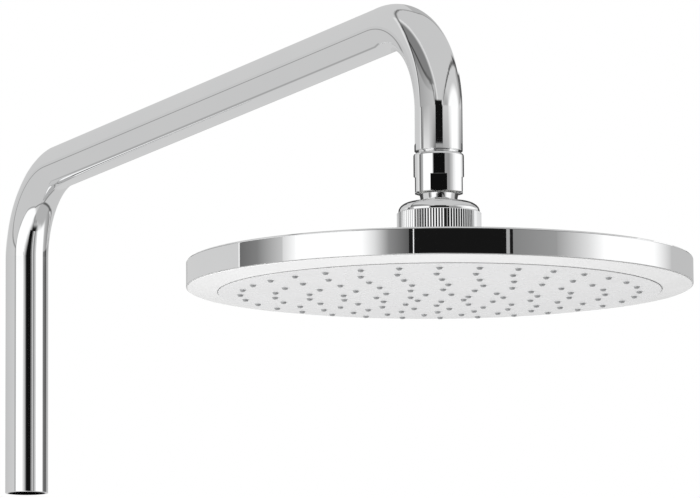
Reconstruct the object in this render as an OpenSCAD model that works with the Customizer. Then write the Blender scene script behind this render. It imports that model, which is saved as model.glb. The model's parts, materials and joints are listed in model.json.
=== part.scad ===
// Overhead shower: a bent riser arm with a ball-jointed round rain head.
// Millimetres. The origin is the centre of the riser's lower end, +Z is up,
// and +X runs from the riser along the arm to the head.

/* [Arm tube] */
// Outside diameter of the bent tube
tube_d = 24; // [22:0.5:26]
// Wall thickness of the tube
tube_wall = 1.5; // [1:0.1:2]
// Horizontal distance from the riser's axis to the head's axis
arm_reach = 450; // [350:5:500]
// Angle at which the arm climbs towards the head
arm_climb = 3.6; // [0:0.1:8]
// Height where the riser's axis meets the arm's axis
riser_corner_z = 176.5; // [150:0.5:260]
// Radius of both bends, on the tube's centreline
bend_r = 47; // [40:0.5:55]
// Length of the drop below its corner, down to the tube's cut end
drop_length = 72; // [65:0.5:90]

/* [Connector] */
// Diameter of the connector's round body
connector_d = 25; // [24.6:0.1:27]
// Height of the connector's body, without its neck
connector_h = 20.5; // [20:0.1:26]
// Rounding of the connector's top edge
connector_round = 1.4; // [0.6:0.1:1.8]
// Open groove between the tube's end and the connector
connector_groove = 1; // [0.6:0.1:2]
// Distance across the wrench flats
flats_across = 23.6; // [23.2:0.1:24.4]
// Height of the wrench flats, measured from the connector's lower face
flats_h = 9.1; // [6:0.1:12]
// Turn of the wrench flats about the vertical
flats_turn = -31; // [-45:1:45]
// Height of the bevel round the connector's lower edge
connector_bevel = 0.8; // [0.4:0.1:1.2]
// Outside diameter of the arm nipple's thread
nipple_d = 20.8; // [20.4:0.1:20.9]
// Length of the nipple's thread inside the connector
nipple_grip = 9; // [7:0.5:9]
// Diameter of the water bore through the ball stem
stem_bore_d = 9; // [7:0.5:10]

/* [Ball joint] */
// Diameter of the ball
ball_d = 21; // [20:0.25:21]
// Height of the ball's centre below the collar's lip
ball_drop = 9.3; // [9:0.1:10.5]
// Diameter of the neck where it leaves the connector
neck_d = 19.2; // [17:0.1:19.4]
// Diameter of the neck at its lower end
neck_low_d = 18; // [16:0.1:18.2]
// Diameter of the waist between the neck and the ball
waist_d = 13.6; // [12.6:0.1:14]
// Height of the neck that shows between connector and collar
neck_show = 3.8; // [3.6:0.1:5]
// Thickness of the slip ring round the ball
slip_wall = 2.5; // [2:0.1:2.6]
// Largest tilt of the head away from level, each way
tilt_limit = 15; // [8:1:15]

/* [Collar nut] */
// Diameter over the ribs
collar_d = 41.8; // [40:0.2:46]
// Height of the ribbed part
collar_rib_h = 12.9; // [11.5:0.1:13]
// Height of the domed top
collar_dome_h = 5.3; // [4.8:0.1:5.6]
// Step from the ribs in to the dome
collar_step = 0.8; // [0.5:0.1:1.2]
// Diameter of the hole in the dome
collar_hole_d = 24.6; // [24.2:0.1:25.2]
// Number of grooves round the collar
groove_count = 96; // [60:4:100]
// Radius of each groove
groove_r = 0.42; // [0.3:0.02:0.48]

/* [Head] */
// Diameter of the head
head_d = 250; // [230:5:270]
// Height of the chromed band round the head
band_h = 13; // [12.5:0.5:18]
// Radius of the band's top edge
band_round = 1.5; // [1:0.1:2]
// Rise of the top from the rim to the boss
top_rise = 9.8; // [8:0.1:11]
// Wall of the chromed shell
shell_wall = 2.5; // [2:0.1:3]
// Diameter of the threaded boss under the collar nut
boss_d = 33; // [32.4:0.2:34]
// Height of the boss above the shell's top
boss_h = 7.9; // [7:0.1:8.4]

/* [Spray face] */
// Width of the bevelled ring, from the head's edge in to the disc
ring_w = 15.7; // [13:0.1:22]
// Thickness of the spray plate
plate_h = 3; // [2.4:0.1:3.4]
// Drop of the plate's edge below the band, along the bevelled ring
face_drop = 2.7; // [2:0.1:4]
// Bulge of the spray plate, from its edge down to its centre
plate_bulge = 2.7; // [1.5:0.1:4]
// Gap between the spray plate and the bevelled ring
plate_gap = 0.35; // [0.2:0.05:0.6]
// Thickness of the nozzle mat
mat_h = 1.5; // [1:0.1:2]
// Height of the water chamber above the mat
chamber_h = 5; // [4:0.5:5]
// Thickness of the chamber plate
chamber_wall = 2.5; // [1.8:0.1:2.6]

/* [Nozzles] */
// Distance from the disc's edge in to the outermost ring of nozzles
nozzle_margin = 11; // [9:0.1:14]
// Radius of the innermost ring of nozzles
inner_ring_r = 14.55; // [13.5:0.05:20]
// Number of rings of nozzles
nozzle_rings = 6; // [3:1:6]
// Number of nozzles in the outermost ring
outer_nozzles = 32; // [30:1:36]
// How many nozzles each ring has fewer than the one round it
ring_loss = 5; // [3:1:5]
// Diameter of a nozzle at its foot
nozzle_d = 3.2; // [2.6:0.1:3.6]
// Diameter of a nozzle at its tip
nozzle_tip_d = 2.6; // [1.8:0.1:2.8]
// Height of a nozzle below the plate
nozzle_h = 0.9; // [0.6:0.1:2.5]
// Diameter of a nozzle's water hole
nozzle_bore_d = 1; // [0.6:0.1:1.2]

/* [Screws] */
// Number of screws that hold the chamber plate
screw_count = 6; // [4:1:8]
// Distance of the screws' axes outside the chamber's wall
screw_offset = 6.5; // [6:0.1:7]
// Diameter of a screw's shank
screw_d = 3; // [2.6:0.1:3.2]

/* [Hidden] */

$fn = 96;
overlap = 0.01;      // how far a cutter passes a face
slide = 0.05;        // radial clearance of a fit
seat = 0.05;         // clearance between stacked faces
free_gap = 0.3;      // clearance of pieces that only pass each other
hole_pass = 1;       // how far a hole's cutter passes a bulged face

// Tube and its corners
tube_r = tube_d / 2;
tube_bore_r = tube_r - tube_wall;
drop_corner_z = riser_corner_z + arm_reach * tan(arm_climb);
tube_end_z = drop_corner_z - drop_length;
riser_tangent = bend_r * tan((90 - arm_climb) / 2);
drop_tangent = bend_r * tan((90 + arm_climb) / 2);
riser_straight = riser_corner_z - riser_tangent;
arm_straight = arm_reach / cos(arm_climb) - riser_tangent - drop_tangent;

// Connector and ball stem, from the tube's end downwards
connector_r = connector_d / 2;
connector_top_z = tube_end_z - connector_groove;
connector_low_z = connector_top_z - connector_h;
lip_z = connector_low_z - neck_show;
ball_z = lip_z - ball_drop;
ball_r = ball_d / 2;
ball_flat = 0.79 * ball_r;
stem_bore_r = stem_bore_d / 2;
nipple_r = nipple_d / 2;
connector_bevel_w = 2.6;
nipple_bore_r = 7.5;
nipple_seat = 18;
nipple_low_z = connector_top_z - nipple_grip;
gasket_h = 2;
gasket_z = nipple_low_z - seat - gasket_h;
gasket_bore_r = 6.5;
screen_h = 0.5;
screen_hole_d = 1.6;
screen_pitch = 2.3;
limiter_r = 7.4;
limiter_h = 6;
limiter_wall = 1.2;
limiter_post_r = 2;
limiter_ring_wire_r = 1.1;
limiter_floor_h = 2;

// Rings round the ball
slip_bore_r = ball_r + slide;
slip_r = slip_bore_r + slip_wall;
slip_top = 8.2;
slip_low = 1;
slip_hole_r = waist_d / 2 + 2 * free_gap;
seat_ring_r = 14;
seat_ring_top = slip_r * sin(tilt_limit) - slip_low * cos(tilt_limit) + 2 * free_gap;
seat_ring_low = 5.7;
seat_seal_h = 1.7;
seat_seal_bore_r = 9.3;

// Collar nut
collar_r = collar_d / 2;
dome_r = collar_r - collar_step;
rib_top_z = lip_z - collar_dome_h;
collar_low_z = rib_top_z - collar_rib_h;
collar_hole_r = collar_hole_d / 2;
collar_seat_r = slip_r + slide;
collar_mouth_r = 11.6;
collar_round = 0.8;
rib_bevel = 0.4;

// Head
head_r = head_d / 2;
boss_r = boss_d / 2;
boss_lap = 1;
boss_top_z = ball_z - seat_ring_top + boss_lap;
shell_hub_z = boss_top_z - boss_h;
shell_hub_r = 22;
rim_z = shell_hub_z - top_rise;
band_low_z = rim_z - band_h;
seat_pocket_z = ball_z - seat_ring_low - seat_seal_h - 2 * seat;
port_r = 8.5;
skirt_r = head_r - shell_wall;

// Spray face, from the face upwards; heights are those at the plate's edge
face_z = band_low_z - face_drop;
plate_r = head_r - ring_w;
bulge_r = (pow(plate_r, 2) + pow(plate_bulge, 2)) / (2 * plate_bulge);
nozzle_front = -31;                    // direction that the nozzle rings start from
ring_turns = [0, -1, 1, 5, 3, 23];     // turn of each ring from there
nozzle_ring_r = plate_r - nozzle_margin;
nozzle_ring_step = (nozzle_ring_r - inner_ring_r) / (nozzle_rings - 1);
plate_flange = 2.7;
plate_flange_lap = 1;
plate_flange_h = plate_h / 2;
plate_flange_r = plate_r + plate_flange;
plate_top_z = face_z + plate_h;
mat_top_z = plate_top_z + seat + mat_h;
mat_inset = 3.3;
mat_r = plate_r - mat_inset;
chamber_wall_r = mat_r;
chamber_side = 3;
chamber_r = chamber_wall_r - chamber_side;
chamber_roof_z = mat_top_z + seat + chamber_h;
chamber_top_z = chamber_roof_z + chamber_wall;
screw_ring_r = chamber_wall_r + screw_offset;
screw_margin = 4.5;
chamber_flange_r = screw_ring_r + screw_margin;
spigot_r = port_r - slide;
spigot_bore_r = 5.5;
spigot_top_z = shell_hub_z + free_gap;
inlet_seal_wire_r = 1;
inlet_seal_ring_r = port_r - slide - inlet_seal_wire_r;
inlet_seal_z = shell_hub_z - shell_wall / 2;
deflector_r = 11;
deflector_h = 1.2;
deflector_legs = 4;
deflector_leg_r = 1.1;
deflector_leg_inset = 2.2;
deflector_drop = 1.6;
chamber_rib_count = 12;
chamber_rib_h = 1.5;
ring_spigot_h = 8;
ring_wall = 2.5;
ring_lip_h = 0.6;
ring_lip_inset = 0.4;

// Screws
screw_r = screw_d / 2;
screw_head_r = 2.8;
screw_head_h = 1.8;
screw_grip = 6;
screw_socket_r = 1.1;
screw_socket_h = 1;
post_r = 4;
post_top_z = shell_top(screw_ring_r + post_r) - shell_wall / 2;
screw_turn = 360 / screw_count / 2;

function shell_top(r) = shell_hub_z - top_rise * (r - shell_hub_r) / (head_r - band_round - shell_hub_r);
function ring_holes(k) = outer_nozzles - k * ring_loss;
function ring_radius(k) = nozzle_ring_r - k * nozzle_ring_step;
function bulge(r) = plate_bulge - (bulge_r - sqrt(pow(bulge_r, 2) - pow(r, 2)));

// Moves a child to the head's axis at the given height
module on_axis(z) {
    translate([arm_reach, 0, z]) children();
}

// Ring between two heights on the head's axis
module ring(low, high, outer, inner) {
    on_axis(low)
        difference() {
            cylinder(h = high - low, r = outer);
            translate([0, 0, -overlap]) cylinder(h = high - low + 2 * overlap, r = inner);
        }
}

// Ring of round wire on the head's axis
module wire_ring(z, centre_r, wire_r) {
    on_axis(z) rotate_extrude() translate([centre_r, 0]) circle(r = wire_r, $fn = 32);
}

// The tube's wall in section, or its bore
module tube_section() {
    difference() {
        circle(r = tube_r);
        circle(r = tube_bore_r);
    }
}

// Bend that starts upright at the origin and turns towards +X by the given angle
module bend(turn) {
    translate([bend_r, 0, 0])
        rotate([90, 0, 0])
            rotate([0, 0, 180 - turn])
                rotate_extrude(angle = turn) translate([bend_r, 0]) tube_section();
}

// Runs children on every place of the nozzle rings, lowered as far as the plate bulges there
module at_nozzles() {
    for (k = [0 : nozzle_rings - 1])
        for (i = [0 : ring_holes(k) - 1])
            rotate([0, 0, nozzle_front + ring_turns[k] + i * 360 / ring_holes(k)])
                translate([ring_radius(k), 0, -bulge(ring_radius(k))])
                    children();
}

// Round sheet that bulges downwards; its lower face meets the given height at the plate's edge
module bulged_sheet(low, thick, outer) {
    rotate_extrude()
        difference() {
            translate([0, low - plate_bulge]) square([outer, plate_bulge + thick]);
            difference() {
                translate([0, low - 2 * plate_bulge]) square([outer, 2 * plate_bulge + thick]);
                translate([0, low - plate_bulge + bulge_r]) circle(r = bulge_r, $fn = 3000);
            }
            translate([0, low + thick - plate_bulge + bulge_r]) circle(r = bulge_r, $fn = 3000);
        }
}

// Runs children at every screw
module at_screws() {
    for (i = [0 : screw_count - 1])
        rotate([0, 0, screw_turn + i * 360 / screw_count])
            translate([screw_ring_r, 0, 0])
                children();
}

// One bent tube: riser, arm and drop
module arm_tube() {
    color("silver") {
        linear_extrude(riser_straight) tube_section();
        translate([0, 0, riser_straight]) bend(90 - arm_climb);
        translate([0, 0, riser_corner_z])
            rotate([0, 90 - arm_climb, 0])
                translate([0, 0, riser_tangent]) linear_extrude(arm_straight) tube_section();
        translate([arm_reach, 0, drop_corner_z - drop_tangent])
            mirror([1, 0, 0]) bend(90 + arm_climb);
        translate([arm_reach, 0, tube_end_z])
            linear_extrude(drop_length - drop_tangent) tube_section();
    }
}

// Threaded nipple fixed in the drop's end
module arm_nipple() {
    chamfer = 0.6;
    color("silver")
        on_axis(0)
            rotate_extrude()
                polygon([
                    [nipple_bore_r, nipple_low_z],
                    [nipple_r - chamfer, nipple_low_z],
                    [nipple_r, nipple_low_z + chamfer],
                    [nipple_r, tube_end_z - connector_groove / 2],
                    [tube_bore_r - slide, tube_end_z - connector_groove / 2],
                    [tube_bore_r - slide, tube_end_z + nipple_seat],
                    [nipple_bore_r, tube_end_z + nipple_seat],
                ]);
}

// Flat gasket between the nipple and the connector's shoulder
module inlet_gasket() {
    color("dimgray") ring(gasket_z, gasket_z + gasket_h, nipple_r - free_gap, gasket_bore_r);
}

// Round screen held in the gasket's hole
module inlet_screen() {
    rows = floor((gasket_bore_r - screen_hole_d) / screen_pitch);
    color("lightgray")
        on_axis(gasket_z + (gasket_h - screen_h) / 2)
            linear_extrude(screen_h)
                difference() {
                    circle(r = gasket_bore_r - slide);
                    for (i = [-rows : rows], j = [-rows : rows])
                        if (norm([i, j]) * screen_pitch < gasket_bore_r - screen_hole_d)
                            translate([i, j] * screen_pitch) circle(d = screen_hole_d, $fn = 24);
                }
}

// Connector with wrench flats, neck, waist and ball in one turned piece
module swivel_connector() {
    low = connector_low_z;
    waist_r = waist_d / 2;
    waist_top_z = lip_z - 0.7;
    neck_low_z = lip_z + 1;
    color("silver")
        on_axis(0)
            difference() {
                union() {
                    intersection() {
                        rotate_extrude() connector_section();
                        union() {
                            translate([0, 0, low + flats_h]) cylinder(h = connector_h, r = connector_d);
                            rotate([0, 0, flats_turn])
                                translate([-flats_across / 2, -flats_across / 2, low - overlap])
                                    cube([flats_across, flats_across, flats_h + 2 * overlap]);
                        }
                    }
                    translate([0, 0, neck_low_z])
                        cylinder(h = low - neck_low_z + overlap, r1 = neck_low_d / 2, r2 = neck_d / 2);
                    translate([0, 0, waist_top_z])
                        cylinder(h = neck_low_z - waist_top_z + overlap, r1 = waist_r, r2 = neck_low_d / 2);
                    translate([0, 0, ball_z]) cylinder(h = waist_top_z - ball_z + overlap, r = waist_r);
                    intersection() {
                        translate([0, 0, ball_z]) sphere(r = ball_r);
                        translate([0, 0, ball_z - ball_flat])
                            cylinder(h = 2 * ball_r, r = 2 * ball_r);
                    }
                }
                translate([0, 0, gasket_z - seat])
                    cylinder(h = connector_h, r = nipple_r + slide);
                translate([0, 0, gasket_z - 2 * seat - limiter_h])
                    cylinder(h = limiter_h + connector_h, r = limiter_r + slide);
                translate([0, 0, ball_z - ball_r]) cylinder(h = 3 * ball_r, r = stem_bore_r);
            }
}

// Half section of the connector's body: bevelled below, rounded above
module connector_section() {
    round_z = connector_top_z - connector_round;
    inset_r = connector_r - connector_round;
    polygon([[0, connector_low_z], [connector_r - connector_bevel_w, connector_low_z],
             [connector_r, connector_low_z + connector_bevel], [connector_r, round_z], [0, round_z]]);
    translate([0, round_z - overlap]) square([inset_r, connector_round + overlap]);
    translate([inset_r, round_z]) circle(r = connector_round, $fn = 48);
}

// Water saver: a star-ported disc with a post for its ring
module flow_limiter_body() {
    ports = 8;
    port_hole_r = 0.8;
    low = gasket_z - seat - limiter_h;
    color("white")
        on_axis(low)
            difference() {
                cylinder(h = limiter_h, r = limiter_r);
                translate([0, 0, limiter_floor_h])
                    difference() {
                        cylinder(h = limiter_h, r = limiter_r - limiter_wall);
                        translate([0, 0, -overlap]) cylinder(h = limiter_h, r = limiter_post_r);
                    }
                for (i = [0 : ports - 1])
                    rotate([0, 0, i * 360 / ports])
                        translate([limiter_post_r + port_hole_r + free_gap, 0, -overlap])
                            cylinder(h = limiter_h, r = port_hole_r, $fn = 24);
            }
}

// Elastic ring that the flow squeezes over the ports
module flow_limiter_ring() {
    low = gasket_z - seat - limiter_h + limiter_floor_h;
    wire_r = limiter_ring_wire_r;
    color("black")
        wire_ring(low + wire_r + seat, limiter_r - limiter_wall - free_gap - wire_r, wire_r);
}

// Ring with a hollow ball face that holds the ball down in the collar
module slip_ring() {
    color("whitesmoke")
        on_axis(ball_z)
            difference() {
                intersection() {
                    sphere(r = slip_r);
                    translate([0, 0, slip_low]) cylinder(h = slip_top - slip_low, r = 2 * slip_r);
                }
                sphere(r = slip_bore_r);
                cylinder(h = 2 * slip_r, r = slip_hole_r);
            }
}

// Ring with a hollow ball face that carries the ball from below
module ball_seat_ring() {
    color("whitesmoke")
        on_axis(ball_z)
            difference() {
                translate([0, 0, -seat_ring_low])
                    cylinder(h = seat_ring_low - seat_ring_top, r = seat_ring_r);
                sphere(r = ball_r + slide);
            }
}

// Elastic ring that presses the seat ring to the ball
module seat_seal() {
    low = seat_pocket_z + seat / 2;
    high = seat_pocket_z + seat + seat_seal_h;
    color("black") ring(low, high, seat_ring_r - slide, seat_seal_bore_r);
}

// Ribbed nut with a domed top, which keeps the ball joint together
module collar_nut() {
    throat_z = ball_z + 6;
    lip_low_z = lip_z - collar_round;
    color("silver")
        on_axis(0)
            difference() {
                union() {
                    intersection() {
                        translate([0, 0, collar_low_z])
                            linear_extrude(collar_rib_h)
                                difference() {
                                    circle(r = collar_r);
                                    for (i = [0 : groove_count - 1])
                                        rotate(i * 360 / groove_count)
                                            translate([collar_r, 0]) circle(r = groove_r, $fn = 24);
                                }
                        translate([0, 0, collar_low_z])
                            rotate_extrude()
                                polygon([
                                    [0, 0], [collar_d, 0], [collar_r + overlap, collar_rib_h - rib_bevel],
                                    [collar_r - rib_bevel, collar_rib_h], [0, collar_rib_h],
                                ]);
                    }
                    translate([0, 0, rib_top_z - overlap])
                        rotate_extrude()
                            collar_dome_section();
                }
                translate([0, 0, ball_z]) sphere(r = collar_seat_r);
                translate([0, 0, collar_low_z - overlap])
                    cylinder(h = boss_top_z + seat - collar_low_z + overlap, r = boss_r + slide);
                translate([0, 0, boss_top_z]) cylinder(h = ball_z - boss_top_z, r = collar_seat_r);
                translate([0, 0, ball_z]) cylinder(h = lip_z - ball_z, r = collar_mouth_r);
                translate([0, 0, throat_z])
                    cylinder(h = lip_low_z - throat_z + overlap, r1 = collar_mouth_r, r2 = collar_hole_r);
                translate([0, 0, lip_low_z]) cylinder(h = collar_dome_h, r = collar_hole_r);
            }
}

// Half section of the collar's dome: a low quarter oval with a rounded lip
module collar_dome_section() {
    steps = 10;
    foot_h = 0.6;
    lip_r = collar_hole_r + collar_round;
    polygon(concat(
        [[0, 0], [dome_r, 0], [dome_r, foot_h]],
        [for (i = [0 : steps])
            let (a = 90 * i / steps)
            [lip_r + (dome_r - lip_r) * cos(a), foot_h + (collar_dome_h - foot_h + overlap) * sin(a)]],
        [[collar_hole_r, collar_dome_h - collar_round], [0, collar_dome_h - collar_round]]
    ));
}

// Chromed upper shell: low cone, band and threaded boss
module head_shell() {
    pocket_floor_h = 4;
    color("silver")
        on_axis(0)
            difference() {
                union() {
                    rotate_extrude() shell_section();
                    translate([0, 0, shell_hub_z - shell_wall])
                        cylinder(h = boss_top_z - shell_hub_z + shell_wall, r = boss_r);
                    at_screws()
                        translate([0, 0, chamber_top_z + seat])
                            cylinder(h = post_top_z - chamber_top_z - seat, r = post_r, $fn = 32);
                    translate([0, 0, seat_pocket_z - pocket_floor_h])
                        cylinder(h = pocket_floor_h, r = boss_r);
                }
                translate([0, 0, seat_pocket_z])
                    cylinder(h = boss_top_z - seat_pocket_z + overlap, r = seat_ring_r + slide);
                translate([0, 0, rim_z - band_h]) cylinder(h = band_h + top_rise + boss_h, r = port_r);
                at_screws()
                    translate([0, 0, chamber_top_z - overlap])
                        cylinder(h = screw_grip - chamber_wall + free_gap, r = screw_r + slide, $fn = 24);
            }
}

// Half section of the shell's top and band
module shell_section() {
    edge = head_r - band_round;
    difference() {
        union() {
            polygon([[0, shell_hub_z], [shell_hub_r, shell_hub_z], [edge, rim_z],
                     [edge, band_low_z], [0, band_low_z]]);
            translate([edge - overlap, band_low_z])
                square([band_round + overlap, band_h - band_round]);
            translate([edge, rim_z - band_round]) circle(r = band_round, $fn = 48);
        }
        polygon([[0, shell_hub_z - shell_wall], [shell_hub_r, shell_hub_z - shell_wall],
                 [skirt_r, shell_top(skirt_r) - shell_wall], [skirt_r, band_low_z - overlap],
                 [0, band_low_z - overlap]]);
    }
}

// Round seal between the chamber plate's spigot and the shell
module inlet_seal() {
    color("black") wire_ring(inlet_seal_z, inlet_seal_ring_r, inlet_seal_wire_r);
}

// Roof and wall of the water chamber, with its inlet spigot
module chamber_plate() {
    low = mat_top_z + seat;
    rib_w = 1.6;
    rib_start_r = deflector_r + 6;
    color("gainsboro")
        on_axis(0)
            difference() {
                union() {
                    translate([0, 0, chamber_roof_z]) cylinder(h = chamber_wall, r = chamber_flange_r);
                    translate([0, 0, low]) cylinder(h = chamber_roof_z - low + overlap, r = chamber_wall_r);
                    translate([0, 0, chamber_roof_z])
                        cylinder(h = spigot_top_z - chamber_roof_z, r = spigot_r);
                }
                difference() {
                    translate([0, 0, low - overlap])
                        cylinder(h = chamber_roof_z - low + overlap, r = chamber_r);
                    for (i = [0 : chamber_rib_count - 1])
                        rotate([0, 0, i * 360 / chamber_rib_count])
                            translate([rib_start_r, -rib_w / 2, chamber_roof_z - chamber_rib_h])
                                cube([chamber_r - rib_start_r + rib_w, rib_w, chamber_rib_h + rib_w]);
                }
                translate([0, 0, low]) cylinder(h = spigot_top_z - low + overlap, r = spigot_bore_r);
                translate([0, 0, inlet_seal_z])
                    rotate_extrude()
                        translate([inlet_seal_ring_r, 0])
                            circle(r = inlet_seal_wire_r + slide, $fn = 32);
                at_screws()
                    translate([0, 0, chamber_roof_z - overlap])
                        cylinder(h = chamber_wall + 2 * overlap, r = screw_r + slide, $fn = 24);
            }
}

// Small disc on legs that spreads the inflow over the chamber
module flow_deflector() {
    leg_ring_r = deflector_r - deflector_leg_inset;
    low = mat_top_z + 2 * seat - bulge(leg_ring_r + deflector_leg_r);
    color("white")
        on_axis(0) {
            translate([0, 0, chamber_roof_z - deflector_drop - deflector_h])
                cylinder(h = deflector_h, r = deflector_r);
            for (i = [0 : deflector_legs - 1])
                rotate([0, 0, (i + 0.5) * 360 / deflector_legs])
                    translate([leg_ring_r, 0, low])
                        cylinder(h = chamber_roof_z - seat - low, r = deflector_leg_r, $fn = 24);
        }
}

// Silicone mat with one hollow nozzle for each hole of the plate
module nozzle_mat() {
    tip_z = face_z - nozzle_h;
    color("lightgray")
        on_axis(0)
            difference() {
                union() {
                    bulged_sheet(plate_top_z + seat, mat_h, mat_r);
                    at_nozzles() {
                        translate([0, 0, face_z])
                            cylinder(h = plate_h + seat + mat_h / 2, d = nozzle_d, $fn = 24);
                        translate([0, 0, tip_z])
                            cylinder(h = nozzle_h, d1 = nozzle_tip_d, d2 = nozzle_d, $fn = 24);
                    }
                }
                at_nozzles()
                    translate([0, 0, tip_z - hole_pass])
                        cylinder(h = mat_top_z - tip_z + 2 * hole_pass, d = nozzle_bore_d, $fn = 16);
            }
}

// Bulged disc through which the nozzles stand out
module spray_plate() {
    color("lightgray")
        on_axis(0)
            difference() {
                union() {
                    bulged_sheet(face_z, plate_h, plate_r);
                    translate([0, 0, plate_top_z - plate_flange_h])
                        difference() {
                            cylinder(h = plate_flange_h, r = plate_flange_r);
                            translate([0, 0, -overlap])
                                cylinder(h = plate_flange_h + 2 * overlap, r = plate_r - plate_flange_lap);
                        }
                }
                at_nozzles()
                    translate([0, 0, face_z - hole_pass])
                        cylinder(h = plate_h + 2 * hole_pass, d = nozzle_d + 2 * slide, $fn = 24);
            }
}

// Bevelled white ring that closes the head and carries the plate
module face_ring() {
    bore_r = plate_r + plate_gap;
    pocket_r = plate_flange_r + plate_gap;
    outer_r = skirt_r - slide;
    skirt_bore_r = outer_r - ring_wall;
    top = band_low_z + ring_spigot_h;
    pocket_low_z = plate_top_z - plate_flange_h - seat;
    color("white")
        on_axis(0)
            rotate_extrude()
                polygon([
                    [bore_r, face_z], [head_r - 2 * ring_lip_inset, band_low_z - ring_lip_h],
                    [head_r - ring_lip_inset, band_low_z - seat], [outer_r, band_low_z - seat],
                    [outer_r, top], [skirt_bore_r, top],
                    [skirt_bore_r, plate_top_z], [pocket_r, plate_top_z],
                    [pocket_r, pocket_low_z], [bore_r, pocket_low_z],
                ]);
}

// Screws that hold the chamber plate to the shell's posts
module plate_screws() {
    color("lightslategray")
        on_axis(0)
            at_screws() {
                translate([0, 0, chamber_roof_z - seat - screw_head_h])
                    difference() {
                        cylinder(h = screw_head_h, r = screw_head_r, $fn = 32);
                        translate([0, 0, -overlap])
                            cylinder(h = screw_socket_h, r = screw_socket_r, $fn = 6);
                    }
                translate([0, 0, chamber_roof_z - 2 * seat])
                    cylinder(h = screw_grip + 2 * seat, r = screw_r, $fn = 24);
            }
}

arm_tube();
arm_nipple();
inlet_gasket();
inlet_screen();
swivel_connector();
flow_limiter_body();
flow_limiter_ring();
slip_ring();
ball_seat_ring();
seat_seal();
collar_nut();
head_shell();
inlet_seal();
chamber_plate();
flow_deflector();
nozzle_mat();
spray_plate();
face_ring();
plate_screws();
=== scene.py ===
import json
import math
import bpy
import bmesh
from mathutils import Matrix, Vector
from mathutils.geometry import intersect_point_line


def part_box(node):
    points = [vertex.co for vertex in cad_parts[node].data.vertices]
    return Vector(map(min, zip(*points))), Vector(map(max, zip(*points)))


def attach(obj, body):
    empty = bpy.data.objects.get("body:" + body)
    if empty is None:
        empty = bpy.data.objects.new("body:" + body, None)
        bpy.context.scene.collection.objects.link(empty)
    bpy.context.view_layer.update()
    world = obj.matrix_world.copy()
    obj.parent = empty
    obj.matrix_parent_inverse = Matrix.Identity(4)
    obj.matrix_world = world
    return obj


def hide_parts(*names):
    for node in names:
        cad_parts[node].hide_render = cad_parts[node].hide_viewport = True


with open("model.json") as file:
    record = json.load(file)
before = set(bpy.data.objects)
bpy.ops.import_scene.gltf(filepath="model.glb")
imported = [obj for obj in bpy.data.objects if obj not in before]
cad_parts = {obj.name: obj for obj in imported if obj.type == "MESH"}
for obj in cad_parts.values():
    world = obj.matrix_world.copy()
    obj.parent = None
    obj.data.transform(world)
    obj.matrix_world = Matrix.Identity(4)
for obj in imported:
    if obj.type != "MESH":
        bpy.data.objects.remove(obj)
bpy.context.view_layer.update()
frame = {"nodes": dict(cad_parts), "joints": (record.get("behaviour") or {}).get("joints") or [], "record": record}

# Sizes are in metres, angles in degrees. Places come from the frame where it holds them.

# Axis, heights and radii from the frame
pivot = Vector(frame["joints"][0]["pos_m"])
reach = pivot.x
head_r = (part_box("head_shell")[1].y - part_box("head_shell")[0].y) / 2
band_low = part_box("head_shell")[0].z
boss_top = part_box("head_shell")[1].z
connector_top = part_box("swivel_connector")[1].z
collar_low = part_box("collar_nut")[0].z
collar_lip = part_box("collar_nut")[1].z
tube_r = (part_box("arm_tube")[1].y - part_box("arm_tube")[0].y) / 2

# Meshes: distance under which points merge, how far a cutter passes a face, steps of a rounded corner,
# angle above which an edge is sharp, and how much large faces count in the normals
FINE = 1e-7
OVERSHOOT = 0.001
CORNER_STEPS = 6
SHARP = 30
NORMAL_WEIGHT = 90

# Arm tube
TUBE_WALL = 0.0015
TUBE_EDGE = 0.0003
TUBE_EDGE_STEPS = 4
TUBE_SIDES = 128
ARM_CLIMB = 3.6
RISER_CORNER = 0.1765
BEND_R = 0.047
BEND_STEPS = 72
CONNECTOR_GROOVE = 0.001

# Connector and ball stem
CONNECTOR_R = 0.0125
CONNECTOR_H = 0.0205
CONNECTOR_BEVEL = 0.0008
CONNECTOR_BEVEL_IN = 0.0026
CONNECTOR_ROUND = 0.0014
CONNECTOR_ROUND_STEPS = 9
CONNECTOR_SIDES = 256
CONNECTOR_SHARP = 12
FLATS_ACROSS = 0.0236
FLATS_H = 0.0091
FLATS_TURN = -31
FLATS_COUNT = 4
NECK_R = 0.0096
NECK_LOW_R = 0.009
NECK_LOW_LIFT = 0.001
WAIST_R = 0.0068
WAIST_DROP = 0.0007
BALL_R = 0.0105
BALL_FLAT = 0.0083
BALL_STEPS = 24
STEM_BORE_R = 0.0045
NIPPLE_BORE_R = 0.01045
NIPPLE_BORE_H = 0.0111
LIMITER_BORE_R = 0.00745
LIMITER_BORE_H = 0.0061

# Collar nut
COLLAR_R = 0.0209
COLLAR_DOME_H = 0.0053
COLLAR_DOME_FOOT = 0.0006
COLLAR_DOME_STEPS = 12
COLLAR_STEP = 0.0008
COLLAR_HOLE_R = 0.0123
COLLAR_ROUND = 0.0008
COLLAR_ROUND_STEPS = 4
COLLAR_MOUTH_R = 0.0116
COLLAR_MOUTH_LIFT = 0.00625
COLLAR_SEAT_R = 0.0131
COLLAR_SEAT_STEPS = 8
COLLAR_SHARP = 40
BOSS_BORE_R = 0.01655
RIB_BEVEL = 0.0004
GROOVES = 96
GROOVE_DEPTH = 0.00028
# Half widths of a groove at its mouth and at its floor, in shares of the pitch
GROOVE_MOUTH = 0.46
GROOVE_FLOOR = 0.08

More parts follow.
